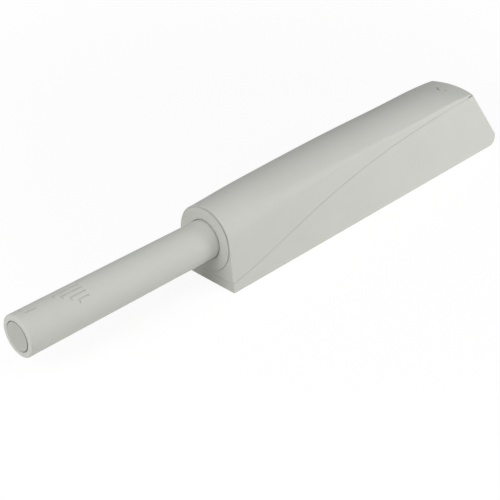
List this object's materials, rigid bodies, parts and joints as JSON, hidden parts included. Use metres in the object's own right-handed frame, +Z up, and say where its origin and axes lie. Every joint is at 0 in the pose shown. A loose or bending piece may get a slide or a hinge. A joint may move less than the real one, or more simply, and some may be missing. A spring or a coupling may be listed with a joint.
{
  "type": "touch latch",
  "caption": "Push-to-open touch latch: a long round spring plunger in a slim screw-on housing with a curved parting line and a sloping rear end.",
  "frame": {"origin": "centre of the two-screw pattern on the underside of the base", "axes": "+Z up, away from the panel that the base is screwed to; -Y along the latch, towards the plunger's tip; +X across it"},
  "size_m": [0.0156, 0.1353, 0.0168],
  "materials": {
    "housing_plastic": "moulded ABS, fine matte texture, warm light grey",
    "barrel_plastic": "moulded acetal, satin, light grey",
    "plunger_plastic": "moulded acetal, satin, light grey",
    "inner_plastic": "moulded acetal, satin, off-white",
    "buffer_rubber": "soft moulded elastomer, grey",
    "soft_rubber": "black nitrile rubber",
    "spring_steel": "drawn spring steel, bright"
  },
  "bodies": {
    "base": {"mounting_base": "housing_plastic"},
    "cover_unit": {"cover": "housing_plastic", "barrel": "barrel_plastic", "rear_plug": "inner_plastic", "spring_washer": "spring_steel", "leaf_spring": "spring_steel", "ejector_spring": "spring_steel"},
    "catch": {"catch_wire": "spring_steel"},
    "carriage": {"carriage": "inner_plastic", "stop_bumper": "soft_rubber", "friction_ring": "soft_rubber"},
    "buffer": {"tip_buffer": "buffer_rubber"},
    "plunger": {"plunger": "plunger_plastic"}
  },
  "joints": [
    {"name": "cover_lift", "type": "slide", "parent": "base", "child": "cover_unit", "axis": [0, 0, 1], "range_m": [0, 0.02]},
    {"name": "latch_stroke", "type": "slide", "parent": "cover_unit", "child": "carriage", "axis": [0, 1, 0], "range_m": [0, 0.04], "stiffness_N_per_m": 90, "springref_m": -0.016, "deforming": ["ejector_spring"]},
    {"name": "adjust_travel", "type": "slide", "parent": "carriage", "child": "buffer", "axis": [0, -1, 0], "range_m": [-0.001, 0.003]},
    {"name": "adjust_turn", "type": "hinge", "parent": "buffer", "child": "plunger", "pos_m": [0, -0.06, 0.0089], "axis": [0, -1, 0], "range_deg": [-180, 540]},
    {"name": "catch_swing", "type": "hinge", "parent": "cover_unit", "child": "catch", "pos_m": [0.00095, 0.0295, 0.0109], "axis": [0, 0, 1], "range_deg": [-2.3, 0]}
  ],
  "couplings": [
    {"joint": "adjust_turn", "follows": "adjust_travel", "rad_per_m": 3141.6}
  ]
}
